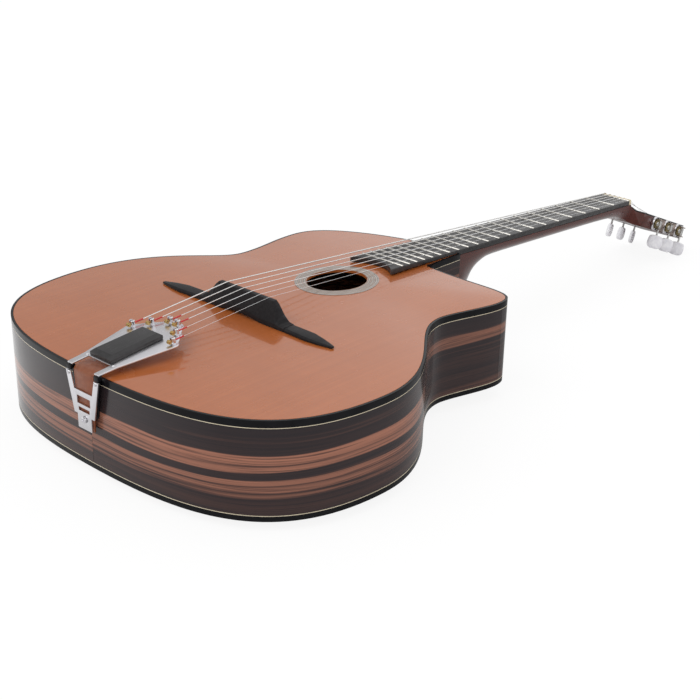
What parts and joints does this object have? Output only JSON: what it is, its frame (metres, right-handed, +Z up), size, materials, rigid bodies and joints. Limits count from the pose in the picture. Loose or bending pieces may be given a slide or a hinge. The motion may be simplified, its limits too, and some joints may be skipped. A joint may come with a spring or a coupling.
{
  "type": "gypsy jazz guitar",
  "caption": "Acoustic guitar with an arched cedar top, small oval sound hole, rounded cutaway, moustache bridge, strap tailpiece and slotted head with geared tuners",
  "frame": {"origin": "middle of the guitar's box at floor level, the guitar lying on its back", "axes": "+Y from the tail to the head, +Z up out of the top, +X to the treble side with the cutaway"},
  "size_m": [0.419, 0.9692, 0.1287],
  "materials": {
    "cedar_top": "gloss lacquer",
    "spruce": "bare",
    "macassar": "gloss lacquer",
    "black_binding": "gloss",
    "neck_wood": "gloss lacquer",
    "ebony": "satin",
    "bone": "polished",
    "chrome": "polished",
    "steel": "bright",
    "leather": "smooth",
    "rosette_wood": "gloss lacquer",
    "pearloid": "gloss"
  },
  "bodies": {
    "guitar": {"top_plate": "cedar_top", "back_plate": "macassar", "bass_rib": "macassar", "treble_rib": "macassar", "cutaway_rib": "macassar", "top_binding": "black_binding", "back_binding": "black_binding", "top_lining_bass": "spruce", "top_lining_treble": "spruce", "back_lining_bass": "spruce", "back_lining_treble": "spruce", "tail_block": "spruce", "neck_block": "spruce", "upper_top_brace": "spruce", "hole_top_brace": "spruce", "lower_top_brace": "spruce", "tone_bar_bass": "spruce", "tone_bar_treble": "spruce", "lower_back_brace": "spruce", "middle_back_brace": "spruce", "upper_back_brace": "spruce", "rosette": "rosette_wood", "neck": "neck_wood", "head": "neck_wood", "headplate": "ebony", "fingerboard": "ebony", "nut": "bone", "truss_rod": "steel", "heel_cap": "ebony", "bridge": "ebony", "moustache_bass": "ebony", "moustache_treble": "ebony", "tailpiece_frame": "chrome", "tailpiece_insert": "ebony", "tailpiece_hanger": "chrome", "tailpiece_pad": "leather", "tailpiece_backing": "black_binding", "tailpiece_screw": "chrome", "hinge_block_bass": "black_binding", "hinge_block_treble": "black_binding", "string_1": "steel", "string_2": "steel", "string_3": "steel", "string_4": "steel", "string_5": "steel", "string_6": "steel", "tuner_plate_bass": "chrome", "tuner_plate_treble": "chrome"},
    "button_1": {"tuner_button_1": "pearloid"},
    "button_2": {"tuner_button_2": "pearloid"},
    "button_3": {"tuner_button_3": "pearloid"},
    "button_4": {"tuner_button_4": "pearloid"},
    "button_5": {"tuner_button_5": "pearloid"},
    "button_6": {"tuner_button_6": "pearloid"},
    "roller_1": {"tuner_roller_1": "steel"},
    "roller_2": {"tuner_roller_2": "steel"},
    "roller_3": {"tuner_roller_3": "steel"},
    "roller_4": {"tuner_roller_4": "steel"},
    "roller_5": {"tuner_roller_5": "steel"},
    "roller_6": {"tuner_roller_6": "steel"}
  },
  "joints": [
    {"name": "button_1_turn", "type": "hinge", "parent": "guitar", "child": "button_1", "pos_m": [0.0343, 0.41029, 0.05343], "axis": [0, -0.3444, -0.9388], "continuous": true},
    {"name": "button_2_turn", "type": "hinge", "parent": "guitar", "child": "button_2", "pos_m": [0.0343, 0.44081, 0.04224], "axis": [0, -0.3444, -0.9388], "continuous": true},
    {"name": "button_3_turn", "type": "hinge", "parent": "guitar", "child": "button_3", "pos_m": [0.0343, 0.47132, 0.03104], "axis": [0, -0.3444, -0.9388], "continuous": true},
    {"name": "button_4_turn", "type": "hinge", "parent": "guitar", "child": "button_4", "pos_m": [-0.0343, 0.47132, 0.03104], "axis": [0, -0.3444, -0.9388], "continuous": true},
    {"name": "button_5_turn", "type": "hinge", "parent": "guitar", "child": "button_5", "pos_m": [-0.0343, 0.44081, 0.04224], "axis": [0, -0.3444, -0.9388], "continuous": true},
    {"name": "button_6_turn", "type": "hinge", "parent": "guitar", "child": "button_6", "pos_m": [-0.0343, 0.41029, 0.05343], "axis": [0, -0.3444, -0.9388], "continuous": true},
    {"name": "roller_1_turn", "type": "hinge", "parent": "guitar", "child": "roller_1", "pos_m": [0, 0.40184, 0.05653], "axis": [1, 0, 0], "continuous": true},
    {"name": "roller_2_turn", "type": "hinge", "parent": "guitar", "child": "roller_2", "pos_m": [0, 0.43235, 0.04534], "axis": [1, 0, 0], "continuous": true},
    {"name": "roller_3_turn", "type": "hinge", "parent": "guitar", "child": "roller_3", "pos_m": [0, 0.46287, 0.03414], "axis": [1, 0, 0], "continuous": true},
    {"name": "roller_4_turn", "type": "hinge", "parent": "guitar", "child": "roller_4", "pos_m": [0, 0.46287, 0.03414], "axis": [1, 0, 0], "continuous": true},
    {"name": "roller_5_turn", "type": "hinge", "parent": "guitar", "child": "roller_5", "pos_m": [0, 0.43235, 0.04534], "axis": [1, 0, 0], "continuous": true},
    {"name": "roller_6_turn", "type": "hinge", "parent": "guitar", "child": "roller_6", "pos_m": [0, 0.40184, 0.05653], "axis": [1, 0, 0], "continuous": true}
  ],
  "couplings": [
    {"joint": "roller_1_turn", "follows": "button_1_turn", "ratio": 0.071429},
    {"joint": "roller_2_turn", "follows": "button_2_turn", "ratio": 0.071429},
    {"joint": "roller_3_turn", "follows": "button_3_turn", "ratio": 0.071429},
    {"joint": "roller_4_turn", "follows": "button_4_turn", "ratio": -0.071429},
    {"joint": "roller_5_turn", "follows": "button_5_turn", "ratio": -0.071429},
    {"joint": "roller_6_turn", "follows": "button_6_turn", "ratio": -0.071429}
  ]
}
